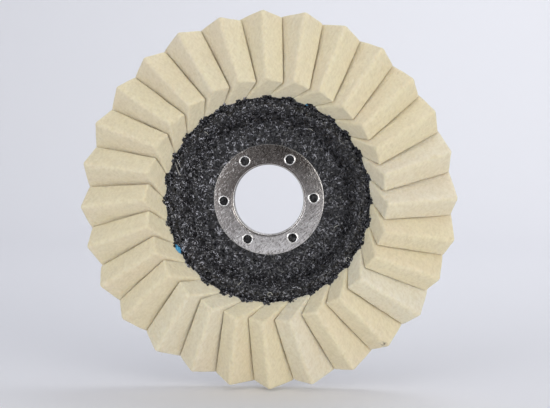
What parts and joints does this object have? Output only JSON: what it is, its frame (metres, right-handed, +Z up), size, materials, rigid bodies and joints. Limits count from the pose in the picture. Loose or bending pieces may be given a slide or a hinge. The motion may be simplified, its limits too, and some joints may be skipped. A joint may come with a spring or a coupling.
{
  "type": "felt polishing wheel",
  "caption": "Felt flap polishing wheel: leaning wool-felt blocks glued around a dished, conical glass-cloth backing plate with a steel arbor ring at its centre.",
  "frame": {"origin": "centre of the arbor bore", "axes": "+Y along the bore axis, from the working face to the back; the working face looks towards -Y; +Z up, with the wheel standing on its rim"},
  "size_m": [0.12, 0.0168, 0.12],
  "materials": {
    "ring_steel": "scuffed, lightly stained sheet steel",
    "backing_plate": "resin-bonded glass cloth, knotted and slightly glossy",
    "adhesive": "cured glossy resin",
    "felt": "dense pressed wool felt"
  },
  "bodies": {
    "root": {"hub_ring": "ring_steel", "backing_layer_rear": "backing_plate", "backing_layer_middle": "backing_plate", "backing_layer_front": "backing_plate", "adhesive_bed": "adhesive", "flap_01": "felt", "flap_02": "felt", "flap_03": "felt", "flap_04": "felt", "flap_05": "felt", "flap_06": "felt", "flap_07": "felt", "flap_08": "felt", "flap_09": "felt", "flap_10": "felt", "flap_11": "felt", "flap_12": "felt", "flap_13": "felt", "flap_14": "felt", "flap_15": "felt", "flap_16": "felt", "flap_17": "felt", "flap_18": "felt", "flap_19": "felt", "flap_20": "felt", "flap_21": "felt", "flap_22": "felt", "flap_23": "felt", "flap_24": "felt", "flap_25": "felt", "flap_26": "felt", "flap_27": "felt", "flap_28": "felt"}
  },
  "joints": []
}
